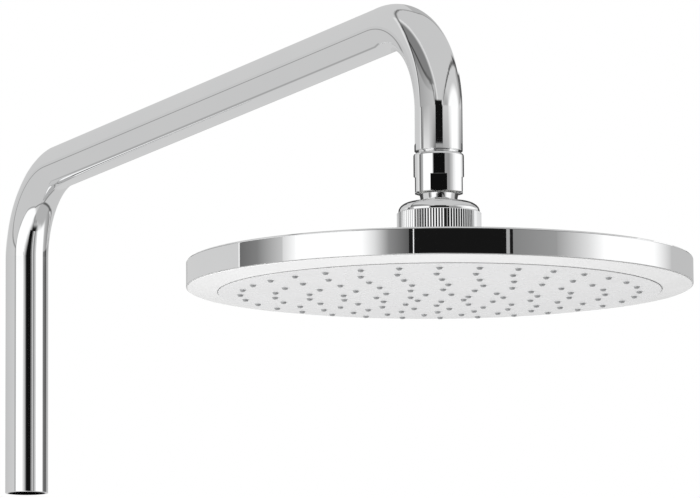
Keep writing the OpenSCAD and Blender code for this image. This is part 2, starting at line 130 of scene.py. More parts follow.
# Head shell
BAND_ROUND = 0.0015
RIM_IN = 0.6 * BAND_ROUND
RIM_ROUND = 0.8 * BAND_ROUND
RIM_DROP = 0.5 * BAND_ROUND
RIM_LOW_ROUND = 0.4 * BAND_ROUND
TOP_RISE = 0.0098
SHELL_WALL = 0.0025
SHELL_EDGE = 0.0002
SHELL_SIDES = 512
HUB_R = 0.022
HUB_ROUND = 0.002
BOSS_R = 0.0165
BOSS_H = 0.0079
PORT_R = 0.0085
POCKET_R = 0.01405
POCKET_DROP = 0.0075
POCKET_FLOOR = 0.004
CHAMBER_H = 0.0075
SCREW_COUNT = 6
SCREW_RING_R = 0.1125
POST_R = 0.004
POST_SIDES = 48
POST_BORE_R = 0.00155
POST_BORE_H = 0.004

# Spray face
FACE_DROP = 0.0027
PLATE_R = 0.1093
PLATE_H = 0.003
PLATE_EDGE = 0.00015
PLATE_FLANGE = 0.0027
PLATE_GAP = 0.00035
PLATE_UNDERCUT = 0.0008
PLATE_PROUD = 0.0004
PLATE_BULGE = 0.0027
PLATE_STEPS = 24
PLATE_SIDES = 256
RING_IN = 0.0006
RING_DROP = 0.0004
RING_ROUND = 0.0003
RING_BORE_ROUND = 0.00015
RING_WALL = 0.0025
RING_SPIGOT_H = 0.008
RING_SPIGOT_ROUND = 0.0002
MAT_H = 0.0015
MAT_IN = 0.0033
MAT_STEPS = 12
MAT_SIDES = 192
MAT_SHARP = 35
SEAT = 0.00005

# Nozzles
NOZZLE_RING_R = 0.0983
NOZZLE_RING_STEP = 0.01675
OUTER_NOZZLES = 32
RING_LOSS = 5
NOZZLE_FRONT = -31
RING_TURNS = [0, -1, 1, 5, 3, 23]
NOZZLE_R = 0.0016
NOZZLE_FOOT = 0.0001
NOZZLE_H = 0.0009
NOZZLE_TIP_R = 0.0013
NOZZLE_ROUND = 0.00045
NOZZLE_ROUND_STEPS = 6
NOZZLE_SIDES = 40
NOZZLE_BORE_R = 0.0005
NOZZLE_BORE_SIDES = 24
NOZZLE_FLARE = 0.00015
NOZZLE_FLARE_LOW = 0.00005
NOZZLE_FLARE_TOP = 0.0003
# How far the cutters of the plate's holes reach below and above the face
HOLE_BELOW = 0.002
HOLE_ABOVE = 0.006

# Finishes: two colours, two roughnesses, metallic, drifts per metre, height of the relief and its
# features per metre
FINISHES = {
    "chrome": ((0.945, 0.95, 0.955), (0.965, 0.968, 0.97), (0.015, 0.04), 1, 25, 0, 0),
    "rubber": ((0.018, 0.018, 0.02), (0.03, 0.03, 0.032), (0.55, 0.7), 0, 150, 6e-6, 4000),
    "steel": ((0.55, 0.56, 0.57), (0.66, 0.67, 0.68), (0.2, 0.34), 1, 200, 2e-6, 3000),
    "pom": ((0.8, 0.8, 0.77), (0.86, 0.86, 0.84), (0.32, 0.42), 0, 90, 3e-6, 2500),
    "inner_plastic": ((0.52, 0.53, 0.53), (0.58, 0.59, 0.59), (0.4, 0.52), 0, 70, 4e-6, 2500),
    "silicone": ((0.27, 0.275, 0.28), (0.33, 0.335, 0.34), (0.16, 0.24), 0, 300, 2e-6, 5000),
    "face_plastic": ((0.755, 0.755, 0.76), (0.765, 0.765, 0.77), (0.24, 0.3), 0, 40, 1e-6, 2500),
    "ring_plastic": ((0.83, 0.83, 0.83), (0.85, 0.85, 0.85), (0.16, 0.22), 0, 40, 1e-6, 2500),
}
NOISE_DETAIL = 3
# Part of the noise's range that is spread over a finish
NOISE_LOW = 0.3
NOISE_HIGH = 0.7

# Camera, fitted to the photograph's outlines
CAMERA_TURN = 59.018
CAMERA_RISE = -7.224
CAMERA_DISTANCE = 2.8332
CAMERA_AIM_TURN = 59.917
CAMERA_AIM_RISE = -7.607
CAMERA_ROLL = -0.349
CAMERA_LENS = 295.5
CAMERA_CLIP = 60

# World: its strength as light
WORLD_LIGHT = 0.67

# Lamps: turn from the camera's own direction, rise, distance, size and power
LAMPS = {
    "key_lamp": (-75, -27, 2.5, 0.25, 36),
    "fill_lamp": (105, -35, 2.5, 0.6, 12),
    "top_lamp": (-40, 50, 3, 1.5, 25),
}

# Floor, and the share of plain white that it shows to the camera
FLOOR_Z = -2.1
FLOOR_R = 12
FLOOR_SIDES = 96
FLOOR_GREY = 0.9
FLOOR_ROUGHNESS = 0.9
FLOOR_WHITE = 0.7

# Cards close to a piece: name, x of the axis that they stand round, radius, lower and upper end, and
# strips. A strip is its left and right turn from the camera's own direction and the levels there, and,
# where its top differs, two more levels for the top. WALL_STEP is the widest that a card may be.
WALL_STEP = 3
WALLS = [
    ("riser_cards", 0, 0.27, -0.03, 0.19, [
        (7, 23.5, 0.006, 0.006), (23.5, 30, 0.2, 0.2), (30, 36, 0.6, 0.6), (36, 42, 0.27, 0.27),
        (42, 53, 0.42, 0.75), (53, 58, 1.05, 1.05),
    ]),
    ("edge_cards_low", reach, 0.16, 0.056, 0.066, [(-120, 120, 0.1, 0.1)]),
    ("edge_cards_high", reach, 0.16, 0.095, 0.105, [(-140, 140, 0.12, 0.12)]),
    ("band_cards", reach, 0.16, 0.07, 0.095, [
        (-115, -64.6, 0.63, 0.63), (-64.6, -64, 0.95, 0.95), (-64, -56, 0.15, 0.22),
        (-56, -46, 0.22, 0.56), (-46, -41.5, 0.7, 1.0), (-41.5, -21, 1.05, 1.05), (-21, -17.5, 1.05, 0.75),
        (-17.5, -13.5, 0.75, 0.26), (-13.5, -8.1, 0.26, 0.11), (-8.1, -7, 0.01, 0.01), (-7, -6.74, 1, 1),
        (-6.74, 18.1, 0.008, 0.008), (18.1, 19.05, 0.4, 0.4), (19.05, 19.95, 0.01, 0.01),
        (19.95, 33, 0.24, 0.33), (33, 43, 0.36, 0.75), (43, 49, 0.75, 1.05), (49, 72, 1.05, 1.05),
        (72, 84, 1.05, 0.56), (84, 130, 0.53, 0.53),
    ]),
    ("collar_cards", reach, 0.16, 0.105, 0.128, [
        (-122, -96, 0.6, 0.6), (-96, -86, 0.2, 0.2), (-86, -73, 0.4, 0.5), (-73, -26, 1.05, 1.05),
        (-26, 60, 0.006, 0.02), (60, 66, 0.3, 0.6), (66, 80, 1.05, 0.9), (80, 117, 0.8, 0.7),
        (117, 150, 0.7, 0.6),
    ]),
    ("connector_cards", reach, 0.16, 0.128, 0.1548, [
        (-122, -108, 0.6, 0.68), (-108, -96, 0.75, 0.75), (-96, -86, 0.15, 0.15), (-86, -73, 0.35, 0.5),
        (-73, -28, 1.05, 1.05), (-28, -23, 0.9, 0.1), (-23, 27, 0.005, 0.005), (27, 48, 0.33, 0.3),
        (48, 65, 0.35, 0.65), (65, 82, 0.75, 1.05), (82, 116, 1.05, 1.05), (116, 150, 0.95, 0.5),
    ]),
    ("outline_cards_low", reach, 0.03, 0.1035, 0.1227, [(107, 253, 0.06, 0.06)]),
    ("outline_cards", reach, 0.03, 0.1227, 0.14, [(118, 242, 0.06, 0.06)]),
    ("outline_cards_high", reach, 0.03, 0.14, 0.178, [(126, 170, 0.12, 0.12)]),
    ("drop_cards", reach, 0.16, 0.1548, 0.178, [
        (-122, -97, 0.6, 0.62), (-97, -87, 0.8, 0.8, 0.66, 0.66), (-87, -83, 0.07, 0.07),
        (-83, -73, 0.15, 0.4, 0.36, 0.4), (-73, -46, 0.8, 0.75, 0.4, 0.5), (-46, -13, 0.75, 0.12, 0.5, 0.5),
        (-13, 20, 0.006, 0.006), (20, 48, 0.38, 0.48, 0.6, 0.62), (48, 65, 0.48, 1.0, 0.8, 1.03),
        (65, 100, 1.05, 1.05), (100, 116, 0.9, 0.55, 1.03, 0.62), (116, 150, 0.45, 0.15, 0.62, 0.4),
    ]),
    ("drop_foot_cards", reach, 0.158, 0.1545, 0.1572, [(-13, 20, 0.35, 0.35)]),
]

# Dome of far cards: radius, step and the level where no card is. Its turns count from the camera's own
# direction.
DOME_R = 60
DOME_STEP = 1.5
DOME_LEVEL = 0.58
# Arches: middle turn, half width, top, level and the share of the arch over which that level fades in
DOME_ARCHES = [
    (-75, 77, 54, 0.75, 0),
    (-75, 74, 51, 0.22, 0.1),
    (86, 66, 38, 0.14, 0),
    (86, 62, 35, 0.62, 0),
    (35, 22, 27, 0.4, 0.6),
    (81, 38, 26, 1.03, 0.25),
]
# Other cards: left and right turn, low and high rise, level at the left and at the right, and how far
# the card leans to the right for each degree of rise
DOME_CARDS = [
    (-97, -28, 25, 28, 0.05, 0.14, 0),
    (-97, -14, 18, 25, 0.2, 0.5, 0),
    (-97, -14, 8, 18, 0.36, 0.55, 0),
    (-16, 18, 8, 13, 0.006, 0.006, 0),
    (18, 24, 8, 13, 0.6, 0.6, 0),
    (118, 136, 10, 24, 0.5, 0.3, 0),
    (134, 146, 12, 22, 0.1, 0.14, 0),
    (150, 180, 8, 19, 1.0, 1.0, 0),
    (-180, -66, 3, 8, 0.53, 0.62, 0),
    (-66, -58, 2, 8, 0.42, 0.42, 0),
    (-58, -17, 2, 8, 1.05, 1.05, 0),
    (-14, 2, -60, 8, 0.9, 0.08, -0.4),
    (27, 34, -44, 8, 0.2, 0.2, -0.4),
    (34, 40, -44, 8, 0.6, 0.6, -0.4),
    (40, 46, -44, 8, 0.27, 0.27, -0.4),
    (46, 58, -44, 8, 0.42, 0.75, -0.4),
    (56, 97, -36, 8, 1.05, 1.05, 0),
    (56, 97, -42, -36, 0.75, 0.7, 0),
    (97, 101, -40, 8, 0.7, 0.7, 0),
    (101, 130, -45, 3, 0.5, 0.25, 0),
    (101, 120, 3, 8, 0.17, 0.17, 0),
    (119, 130, 3, 8, 0.05, 0.05, 0),
    (130, 150, 3, 8, 0.4, 0.4, 0),
    (2, 27, -44, 8, 0.006, 0.006, -0.4),
]
# Rise at which the floor's shapes give way to the walls'
WALL_FOOT_RISE = 2
# Drawn shapes of the walls: level, half width (0 fills the outline) and corners as (turn, rise)
WALL_SHAPES = [
    (0.61, 0, [
        (-181, 8), (-97, 8), (-98, 30), (-103, 38), (-110, 43), (-120, 47), (-135, 50), (-152, 52),
        (-181, 52),
    ]),
    (1.0, 0, [(-181, 8), (-150, 8), (-146, 14), (-160, 19), (-181, 19)]),
    (0.8, 3, [(-102, 11), (-102, 30), (-106, 37), (-114, 42)]),
    (0.03, 2.6, [(-97, 11), (-97, 30), (-102, 38)]),
    (0.13, 2, [(-102, 38), (-110, 44), (-120, 48), (-135, 52), (-152, 54)]),
    (0.25, 2, [(-152, 54), (-165, 57), (-181, 58)]),
    (0.13, 2, [(-50, 27), (-28, 24), (-21, 19), (-18, 13)]),
    (0.46, 0, [(156, 28), (181, 20), (181, 58), (170, 55), (162, 44)]),
    (0.25, 2, [(181, 58), (170, 55), (162, 44), (156, 28)]),
    (0.03, 2.6, [(130, 29), (138, 25), (146, 20)]),
]
# Patches of the floor: level and corners in degrees away from straight down, to the right and towards
# the camera
FLOOR_PATCHES = [
    (0.62, [(-29, -44), (-16, -44), (4, -60), (4, -84), (-40, -84), (-36, -52)]),
    (0.2, [(2, 26), (8, 38), (26, 34), (24, 26)]),
    (0.45, [(0, 0), (4, 26), (12, 34), (32, 26), (52, 10), (52, -4), (36, -26)]),
    (1.05, [
        (-84, 49), (-56, 40), (-40, 28), (-12, 18), (2, 24), (3, 46), (-3, 62), (-12, 76), (-23, 88),
        (-26, 94), (-48, 84), (-68, 68),
    ]),
]
# Rise below which the floor's patches are blurred, and how often
FLOOR_SOFT_RISE = -26
FLOOR_SOFT_PASSES = 4
# Lines on the floor, which stay sharp: level, half width and corners, in the same degrees
FLOOR_LINES = [
    (0.36, 2.4, [(-80, 46), (-56, 40), (-40, 28), (-12, 18)]),
    (0.25, 2.2, [(-12, 18), (6, -5)]),
    (0.1, 3.6, [(6, -5), (24, -18), (38, -30), (49, -51), (60, -66), (64, -72)]),
    (0.85, 2.4, [(43, -33), (55, -54), (65, -68)]),
    (0.26, 3.4, [(6, -6), (2, -20), (-2, -34), (-6, -44)]),
    (0.36, 3.9, [(-36, -51), (-29, -39)]),
]


def direction(turn, rise):
    """Unit vector that points back to a camera at this azimuth and elevation."""
    a, e = math.radians(turn), math.radians(rise)
    return Vector((math.sin(a) * math.cos(e), -math.cos(a) * math.cos(e), math.sin(e)))


def make_camera():
    """Camera at the photograph's place, aim and slight roll."""
    data = bpy.data.cameras.new("camera")
    data.lens = CAMERA_LENS
    data.clip_end = CAMERA_CLIP
    camera = bpy.data.objects.new("camera", data)
    bpy.context.collection.objects.link(camera)
    back = direction(CAMERA_AIM_TURN, CAMERA_AIM_RISE)
    right = direction(CAMERA_AIM_TURN + 90, 0)
    up = back.cross(right)
    roll = math.radians(CAMERA_ROLL)
    tilted_right = right * math.cos(roll) + up * math.sin(roll)
    tilted_up = up * math.cos(roll) - right * math.sin(roll)
    place = Vector((reach, 0, band_low)) + direction(CAMERA_TURN, CAMERA_RISE) * CAMERA_DISTANCE
    axes = Matrix((tilted_right, tilted_up, back)).transposed().to_4x4()
    camera.matrix_world = Matrix.Translation(place) @ axes
    bpy.context.scene.camera = camera


# Mesh tools


def link_mesh(name, points, faces):
    """Mesh object from points and faces, with coinciding points merged and normals outwards."""
    mesh = bpy.data.meshes.new(name)
    mesh.from_pydata(points, [], faces)
    work = bmesh.new()
    work.from_mesh(mesh)
    bmesh.ops.remove_doubles(work, verts=work.verts, dist=FINE)
    bmesh.ops.dissolve_degenerate(work, edges=work.edges, dist=FINE)
    bmesh.ops.recalc_face_normals(work, faces=work.faces)
    work.to_mesh(mesh)
    work.free()
    obj = bpy.data.objects.new(name, mesh)
    bpy.context.collection.objects.link(obj)
    return obj


def between(a, b, count):
    """Faces between two rings of count points, one that starts at point a and one at point b."""
    return [(a + i, a + (i + 1) % count, b + (i + 1) % count, b + i) for i in range(count)]


def loft(name, rings, closed=True):
    """Surface through rings of equally many points; closed joins the last ring to the first."""
    count = len(rings[0])
    points = [p for ring in rings for p in ring]
    faces = []
    for k in range(len(rings) if closed else len(rings) - 1):
        faces += between(k * count, (k + 1) % len(rings) * count, count)
    return link_mesh(name, points, faces)


def rounded(corners):
    """Closed outline from (r, z, radius) corners, each rounded by an arc of that radius."""
    outline = []
    for i, (r, z, radius) in enumerate(corners):
        here = Vector((r, z))
        before = (Vector(corners[i - 1][:2]) - here).normalized()
        after = (Vector(corners[(i + 1) % len(corners)][:2]) - here).normalized()
        if radius == 0:
            outline.append(here)
            continue
        half = before.angle(after) / 2
        centre = here + (before + after).normalized() * (radius / math.sin(half))
        start = here + before * (radius / math.tan(half)) - centre
        end = here + after * (radius / math.tan(half)) - centre
        turn = start.angle_signed(end)
        for k in range(CORNER_STEPS + 1):
            outline.append(centre + Matrix.Rotation(-turn * k / CORNER_STEPS, 2) @ start)
    return outline


def even_angles(count):
    """Angles of count equal parts of a full turn."""
    return [2 * math.pi * i / count for i in range(count)]


def quarter(steps):
    """Angles from 0 to a right angle, both included."""
    return [math.radians(90 * k / steps) for k in range(steps + 1)]


def round_ring(r, z, angles):
    """Points of a circle about the head's axis at the given angles."""
    return [(reach + r * math.cos(a), r * math.sin(a), z) for a in angles]


def lathe(name, outline, count):
    """Solid of revolution about the head's axis from a closed outline of (r, z)."""
    angles = even_angles(count)
    return loft(name, [round_ring(max(r, 0), z, angles) for r, z in outline])


def pin(name, place, r, low, high):
    """Upright closed cylinder at (x, y)."""
    angles = even_angles(POST_SIDES)
    rings = [
        [(place[0] + q * math.cos(a), place[1] + q * math.sin(a), z) for a in angles]
        for q, z in ((0, low), (r, low), (r, high), (0, high))
    ]
    return loft(name, rings, closed=False)


def turned_group(name, places, outline, sides):
    """One mesh of equal turned pieces, each from an open outline of (r, z) lowered at its place."""
    points, faces = [], []
    for x, y, depth in places:
        base = len(points)
        for r, z in outline:
            points += [(x + r * math.cos(a), y + r * math.sin(a), z - depth) for a in even_angles(sides)]
        for k in range(len(outline) - 1):
            faces += between(base + k * sides, base + (k + 1) * sides, sides)
    return link_mesh(name, points, faces)


def smooth(obj, sharp=SHARP):
    """Smooth shading that keeps edges above the sharp angle and flat faces flat."""
    mesh = obj.data
    mesh.shade_smooth()
    mesh.set_sharp_from_angle(angle=math.radians(sharp))
    weighted = obj.modifiers.new("weighted", "WEIGHTED_NORMAL")
    weighted.keep_sharp = True
    weighted.weight = NORMAL_WEIGHT
    return obj


def cut(obj, cutter, operation="DIFFERENCE"):
    """Applies a boolean of the cutter to the object and removes the cutter."""
    modifier = obj.modifiers.new("cut", "BOOLEAN")
    modifier.operation = operation
    modifier.solver = "MANIFOLD"
    modifier.object = cutter
    bpy.context.view_layer.update()
    done = bpy.data.meshes.new_from_object(obj.evaluated_get(bpy.context.evaluated_depsgraph_get()))
    obj.modifiers.clear()
    obj.data = done
    bpy.data.objects.remove(cutter)


# Pieces of the arm


def tube_path():
    """Centreline of the tube as (point, turn of its direction), from the riser's end to the drop's."""
    climb = math.radians(ARM_CLIMB)
    drop_corner = RISER_CORNER + reach * math.tan(climb)
    riser_top = RISER_CORNER - BEND_R * math.tan(math.pi / 4 - climb / 2)
    drop_top = drop_corner - BEND_R * math.tan(math.pi / 4 + climb / 2)
    path = [(Vector((0, 0, 0)), 0)]
    for k in range(BEND_STEPS + 1):
        turn = (math.pi / 2 - climb) * k / BEND_STEPS
        across = BEND_R - BEND_R * math.cos(turn)
        path.append((Vector((across, 0, riser_top + BEND_R * math.sin(turn))), turn))
    for k in range(BEND_STEPS + 1):
        turn = math.pi / 2 - climb + (math.pi / 2 + climb) * k / BEND_STEPS
        across = reach - BEND_R - BEND_R * math.cos(turn)
        path.append((Vector((across, 0, drop_top + BEND_R * math.sin(turn))), turn))
    path.append((Vector((reach, 0, connector_top + CONNECTOR_GROOVE)), math.pi))
    return path


def make_arm_tube():
    """The bent tube with its wall and lightly rounded ends."""
    path = tube_path()

    def ring(place, r, shift=0.0):
        point, turn = place
        along = Vector((math.sin(turn), 0, math.cos(turn)))
        out = Vector((-math.cos(turn), 0, math.sin(turn)))
        centre = point + along * shift
        return [
            tuple(centre + out * (r * math.cos(a)) + Vector((0, r * math.sin(a), 0)))
            for a in even_angles(TUBE_SIDES)
        ]

    bore_r = tube_r - TUBE_WALL
    flat_r = tube_r - TUBE_EDGE
    rings = [
        ring(path[0], flat_r + TUBE_EDGE * math.sin(a), TUBE_EDGE - TUBE_EDGE * math.cos(a))
        for a in quarter(TUBE_EDGE_STEPS)
    ]
    rings += [ring(place, tube_r) for place in path[1:-1]]
    rings += [
        ring(path[-1], flat_r + TUBE_EDGE * math.cos(a), TUBE_EDGE * math.sin(a) - TUBE_EDGE)
        for a in quarter(TUBE_EDGE_STEPS)
    ]
    rings += [ring(path[-1], bore_r)]
    rings += [ring(place, bore_r) for place in reversed(path[1:-1])]
    rings += [ring(path[0], bore_r)]
    return smooth(loft("bent_tube", rings))


def make_connector():
    """Connector with its flats, neck and ball, turned about the head's axis."""
    low = connector_top - CONNECTOR_H
    flat = FLATS_ACROSS / 2
    half = math.acos(flat / CONNECTOR_R)
    turns = [math.radians(FLATS_TURN) + a for a in even_angles(FLATS_COUNT)]
    edges = [turn + side * half for turn in turns for side in (-1, 1)]
    angles = sorted(a % (2 * math.pi) for a in even_angles(CONNECTOR_SIDES) + edges)

    def flat_r(a):
        away = min(abs((a - turn + math.pi) % (2 * math.pi) - math.pi) for turn in turns)
        return min(CONNECTOR_R, flat / math.cos(min(away, half)))

    def flat_ring(height):
        radii = [flat_r(a) for a in angles]
        return [(reach + r * math.cos(a), r * math.sin(a), height(r)) for r, a in zip(radii, angles)]

    ball_low = pivot.z - BALL_FLAT
    ball_start = math.asin(-BALL_FLAT / BALL_R)
    ball_end = math.acos(WAIST_R / BALL_R)
    lift = [ball_start + (ball_end - ball_start) * k / BALL_STEPS for k in range(BALL_STEPS + 1)]
    ball = [(BALL_R * math.cos(a), pivot.z + BALL_R * math.sin(a)) for a in lift]
    foot_r = CONNECTOR_R - CONNECTOR_BEVEL_IN
    slope = CONNECTOR_BEVEL / CONNECTOR_BEVEL_IN
    neck = [
        (WAIST_R, collar_lip - WAIST_DROP), (NECK_LOW_R, collar_lip + NECK_LOW_LIFT),
        (NECK_R, low), (foot_r, low),
    ]
    round_r = CONNECTOR_R - CONNECTOR_ROUND
    round_z = connector_top - CONNECTOR_ROUND
    shoulder = [
        (round_r + CONNECTOR_ROUND * math.cos(a), round_z + CONNECTOR_ROUND * math.sin(a))
        for a in quarter(CONNECTOR_ROUND_STEPS)
    ]
    nipple_low = connector_top - NIPPLE_BORE_H
    limiter_low = nipple_low - LIMITER_BORE_H
    bore = [
        (NIPPLE_BORE_R, connector_top), (NIPPLE_BORE_R, nipple_low), (LIMITER_BORE_R, nipple_low),
        (LIMITER_BORE_R, limiter_low), (STEM_BORE_R, limiter_low), (STEM_BORE_R, ball_low),
    ]
    rings = [round_ring(r, z, angles) for r, z in ball + neck]
    rings.append(flat_ring(lambda r: low + (r - foot_r) * slope))
    rings.append(flat_ring(lambda r: low + FLATS_H))
    rings.append(round_ring(CONNECTOR_R, low + FLATS_H, angles))
    rings += [round_ring(r, z, angles) for r, z in shoulder + bore]
    return smooth(loft("wrench_connector", rings), CONNECTOR_SHARP)


def make_collar():
    """Ribbed nut with a domed top and a hollow ball seat."""
    pitch = 2 * math.pi * COLLAR_R / GROOVES
    groove = [
        (-GROOVE_MOUTH, 0), (-GROOVE_FLOOR, GROOVE_DEPTH), (GROOVE_FLOOR, GROOVE_DEPTH), (GROOVE_MOUTH, 0),
    ]
    angles, depths = [], []
    for k in range(GROOVES):
        for across, depth in groove:
            angles.append((k + across) * pitch / COLLAR_R)
            depths.append(depth)

    def ribbed(z, limit):
        radii = [min(COLLAR_R - depth, limit) for depth in depths]
        return [(reach + r * math.cos(a), r * math.sin(a), z) for r, a in zip(radii, angles)]

    rib_top = collar_lip - COLLAR_DOME_H
    dome_r = COLLAR_R - COLLAR_STEP
    dome_low = rib_top + COLLAR_DOME_FOOT
    dome_h = COLLAR_DOME_H - COLLAR_DOME_FOOT
    lip_r = COLLAR_HOLE_R + COLLAR_ROUND
    lip_z = collar_lip - COLLAR_ROUND
    dome = [(dome_r, rib_top)]
    dome += [
        (lip_r + (dome_r - lip_r) * math.cos(a), dome_low + dome_h * math.sin(a))
        for a in quarter(COLLAR_DOME_STEPS)
    ]
    dome += [
        (lip_r - COLLAR_ROUND * math.sin(a), lip_z + COLLAR_ROUND * math.cos(a))
        for a in quarter(COLLAR_ROUND_STEPS)[1:]
    ]
    seat_top = math.acos(COLLAR_MOUTH_R / COLLAR_SEAT_R)
    lift = [seat_top * (1 - k / COLLAR_SEAT_STEPS) for k in range(COLLAR_SEAT_STEPS + 1)]
    bore = [(COLLAR_MOUTH_R, pivot.z + COLLAR_MOUTH_LIFT)]
    bore += [(COLLAR_SEAT_R * math.cos(a), pivot.z + COLLAR_SEAT_R * math.sin(a)) for a in lift]
    bore += [(COLLAR_SEAT_R, boss_top + SEAT), (BOSS_BORE_R, boss_top + SEAT), (BOSS_BORE_R, collar_low)]
    rings = [ribbed(collar_low, COLLAR_R), ribbed(rib_top - RIB_BEVEL, COLLAR_R)]
    rings.append(ribbed(rib_top, COLLAR_R - RIB_BEVEL))
    rings += [round_ring(r, z, angles) for r, z in dome + bore]
    return smooth(loft("ribbed_collar", rings), COLLAR_SHARP)


# Pieces of the head


def shell_top(r):
    """Height of the shell's low cone at a radius."""
    hub = boss_top - BOSS_H
    return hub - TOP_RISE * (r - HUB_R) / (head_r - BAND_ROUND - HUB_R)


def make_head_shell():
    """Chromed shell: boss, low cone, rounded rim and band, with its screw posts."""
    hub = boss_top - BOSS_H
    skirt_r = head_r - SHELL_WALL
    pocket = pivot.z - POCKET_DROP
    chamber_top = band_low - FACE_DROP + PLATE_H + MAT_H + 2 * SEAT + CHAMBER_H
    corners = [
        (PORT_R, pocket, 0), (POCKET_R, pocket, 0), (POCKET_R, boss_top, 0),
        (BOSS_R, boss_top, SHELL_EDGE), (BOSS_R, hub, 2 * SHELL_EDGE), (HUB_R, hub, HUB_ROUND),
        (head_r - RIM_IN, shell_top(head_r - RIM_IN), RIM_ROUND),
        (head_r, shell_top(head_r) - RIM_DROP, RIM_LOW_ROUND),
        (head_r, band_low, SHELL_EDGE), (skirt_r, band_low, SHELL_EDGE),
        (skirt_r, shell_top(skirt_r) - SHELL_WALL, 0), (HUB_R, hub - SHELL_WALL, 0),
        (BOSS_R, hub - SHELL_WALL, 0), (BOSS_R, pocket - POCKET_FLOOR, 0),
        (PORT_R, pocket - POCKET_FLOOR, 0),
    ]
    shell = lathe("shell_and_band", rounded(corners), SHELL_SIDES)
    post_top = shell_top(SCREW_RING_R + POST_R) - SHELL_WALL / 2
    for k in range(SCREW_COUNT):
        a = 2 * math.pi * (k + 0.5) / SCREW_COUNT
        place = (reach + SCREW_RING_R * math.cos(a), SCREW_RING_R * math.sin(a))
        cut(shell, pin("post", place, POST_R, chamber_top, post_top), "UNION")
        cut(shell, pin("bore", place, POST_BORE_R, chamber_top - OVERSHOOT, chamber_top + POST_BORE_H))
    return smooth(shell)


def bulge(r):
    """How far the face bulges down at a radius, next to its edge."""
    sphere = (PLATE_R ** 2 + PLATE_BULGE ** 2) / (2 * PLATE_BULGE)
    return PLATE_BULGE - (sphere - math.sqrt(sphere ** 2 - r ** 2))


def nozzle_places():
    """(x, y, depth) of every nozzle: rings with a constant loss of nozzles from one to the next."""
    places = []
    for k, ring_turn in enumerate(RING_TURNS):
        r = NOZZLE_RING_R - k * NOZZLE_RING_STEP
        count = OUTER_NOZZLES - k * RING_LOSS
        for i in range(count):
            a = math.radians(NOZZLE_FRONT + ring_turn + 360 * i / count)
            places.append((reach + r * math.cos(a), r * math.sin(a), bulge(r)))
    return places


def make_spray_plate():
    """Bulged disc with a hole for every nozzle."""
    face = band_low - FACE_DROP
    groove_r = PLATE_R - PLATE_UNDERCUT
    groove_low = face + PLATE_EDGE + PLATE_UNDERCUT
    flange_r = PLATE_R + PLATE_FLANGE
    flange_low = face + PLATE_H / 2
    radii = [PLATE_R * k / PLATE_STEPS for k in range(PLATE_STEPS)]
    outline = [(r, face - bulge(r)) for r in radii]
    outline += [
        (PLATE_R - PLATE_EDGE, face), (PLATE_R, face + PLATE_EDGE), (groove_r, groove_low),
        (groove_r, flange_low), (flange_r, flange_low), (flange_r, face + PLATE_H),
        (PLATE_R, face + PLATE_H),
    ]
    outline += [(r, face + PLATE_H - bulge(r)) for r in reversed(radii)]
    plate = lathe("bulged_plate", outline, PLATE_SIDES)
    hole_r = NOZZLE_R + SEAT
    low = face - HOLE_BELOW
    high = face + HOLE_ABOVE
    cutter = [(0, low), (hole_r, low), (hole_r, high), (0, high)]
    cut(plate, turned_group("holes", nozzle_places(), cutter, NOZZLE_SIDES))
    return smooth(plate)


def make_nozzle_mat():
    """Soft mat with a hollow round-tipped nozzle at every hole."""
    face = band_low - FACE_DROP
    low = face + PLATE_H + SEAT
    mat_r = PLATE_R - MAT_IN
    radii = [mat_r * k / MAT_STEPS for k in range(MAT_STEPS + 1)]
    outline = [(r, low - bulge(r)) for r in radii]
    outline += [(r, low + MAT_H - bulge(r)) for r in reversed(radii)]
    mat = lathe("soft_mat", outline, MAT_SIDES)
    tip = face - NOZZLE_H
    round_r = NOZZLE_TIP_R - NOZZLE_ROUND
    round_z = tip + NOZZLE_ROUND
    body = [(0, tip)]
    body += [
        (round_r + NOZZLE_ROUND * math.sin(a), round_z - NOZZLE_ROUND * math.cos(a))
        for a in quarter(NOZZLE_ROUND_STEPS)
    ]
    body += [(NOZZLE_R, face + NOZZLE_FOOT), (NOZZLE_R, low + MAT_H / 2), (0, low + MAT_H / 2)]
    cut(mat, turned_group("nozzles", nozzle_places(), body, NOZZLE_SIDES), "UNION")
    mouth_r = NOZZLE_BORE_R + NOZZLE_FLARE
    bore = [
        (0, tip - OVERSHOOT), (mouth_r, tip - OVERSHOOT), (mouth_r, tip + NOZZLE_FLARE_LOW),
        (NOZZLE_BORE_R, tip + NOZZLE_FLARE_TOP), (NOZZLE_BORE_R, low + MAT_H + OVERSHOOT),
        (0, low + MAT_H + OVERSHOOT),
    ]
    cut(mat, turned_group("bores", nozzle_places(), bore, NOZZLE_BORE_SIDES))
    return smooth(mat, MAT_SHARP)


def make_face_ring():
    """White bevelled ring between the band and the plate."""
    face = band_low - FACE_DROP
    bore_r = PLATE_R + PLATE_GAP
    pocket_r = PLATE_R + PLATE_FLANGE + PLATE_GAP
    rim_r = head_r - RING_IN
    outer_r = head_r - SHELL_WALL - SEAT
    inner_r = outer_r - RING_WALL
    spigot_top = band_low + RING_SPIGOT_H
    plate_top = face + PLATE_H
    ledge = plate_top - PLATE_H / 2 - SEAT
    corners = [
        (bore_r, face + PLATE_PROUD, RING_BORE_ROUND), (rim_r, band_low - RING_DROP, RING_ROUND),
        (rim_r, band_low - SEAT, 0), (outer_r, band_low - SEAT, 0),
        (outer_r, spigot_top, RING_SPIGOT_ROUND), (inner_r, spigot_top, RING_SPIGOT_ROUND),
        (inner_r, plate_top, 0), (pocket_r, plate_top, 0),
        (pocket_r, ledge, 0), (bore_r, ledge, 0),
    ]
    return smooth(lathe("bevelled_ring", rounded(corners), SHELL_SIDES))


# Materials


def material(name):
    """New node material; returns it with its tree and shader."""
    made = bpy.data.materials.new(name)
    made.use_nodes = True
    return made, made.node_tree, made.node_tree.nodes["Principled BSDF"]


